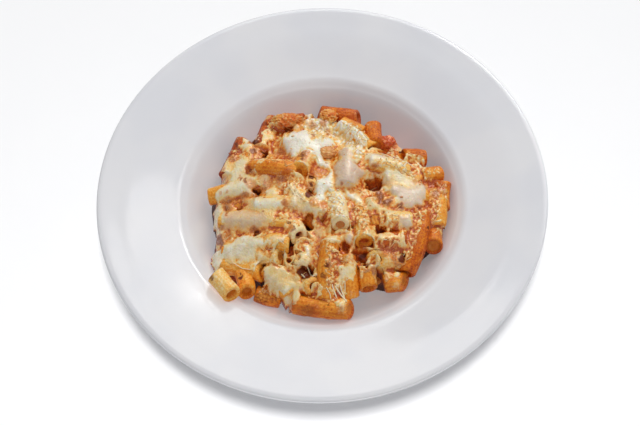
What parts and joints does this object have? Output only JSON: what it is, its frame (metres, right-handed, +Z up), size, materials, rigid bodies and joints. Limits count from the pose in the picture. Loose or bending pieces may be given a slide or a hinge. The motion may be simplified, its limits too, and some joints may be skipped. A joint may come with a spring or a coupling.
{
  "type": "baked tube pasta in a round dish",
  "caption": "Heap of sauced baked tube pasta under melted cheese, built with its wide-rimmed white pasta dish.",
  "frame": {"origin": "middle of the circle that the dish's foot stands on", "axes": "+Z up along the dish's axis, +X to the viewer's right, -Y towards the viewer"},
  "size_m": [0.3, 0.3, 0.058],
  "materials": {
    "glazed_dish": "glossy white glaze",
    "sauced_pasta": "cooked pasta coated in tomato sauce, browned and slightly oily",
    "melted_cheese": "melted cheese, creamy white with golden edges, moist sheen"
  },
  "bodies": {
    "root": {"dish": "glazed_dish", "pasta_heap": "sauced_pasta", "cheese_top": "melted_cheese", "cheese_middle": "melted_cheese", "cheese_dome": "melted_cheese", "cheese_right": "melted_cheese", "cheese_left": "melted_cheese", "cheese_coat": "melted_cheese", "cheese_front": "melted_cheese", "cheese_band": "melted_cheese"}
  },
  "joints": []
}
